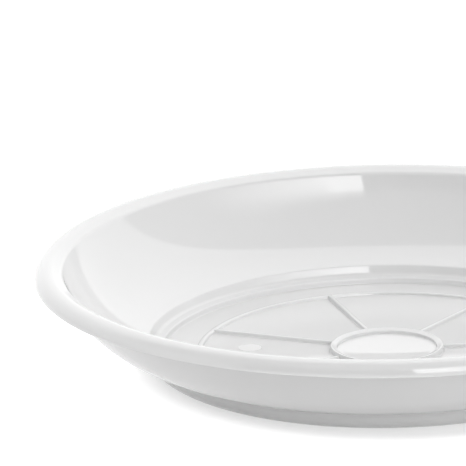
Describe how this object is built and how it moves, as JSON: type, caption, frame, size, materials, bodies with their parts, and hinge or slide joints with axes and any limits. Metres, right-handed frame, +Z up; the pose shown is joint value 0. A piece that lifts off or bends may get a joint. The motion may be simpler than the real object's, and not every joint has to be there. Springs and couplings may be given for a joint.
{
  "type": "plant saucer",
  "caption": "Round white plastic plant saucer with a rolled rim, a curved side and a stepped, ribbed floor that catches water under a pot.",
  "frame": {"origin": "middle of the flat ring that the saucer stands on", "axes": "+Z up along the saucer's axis, +Y away from the picture's viewer, +X to the picture's right"},
  "size_m": [0.25, 0.25, 0.0368],
  "materials": {
    "white_plastic": "smooth gloss, as moulded"
  },
  "bodies": {
    "root": {"rolled_rim": "white_plastic", "bowl_wall": "white_plastic", "foot_ring": "white_plastic", "floor_plate": "white_plastic", "ring_rib": "white_plastic", "centre_ring": "white_plastic", "spoke_rib_1": "white_plastic", "spoke_rib_2": "white_plastic", "spoke_rib_3": "white_plastic", "spoke_rib_4": "white_plastic", "spoke_rib_5": "white_plastic", "spoke_rib_6": "white_plastic", "spoke_rib_7": "white_plastic"}
  },
  "joints": []
}
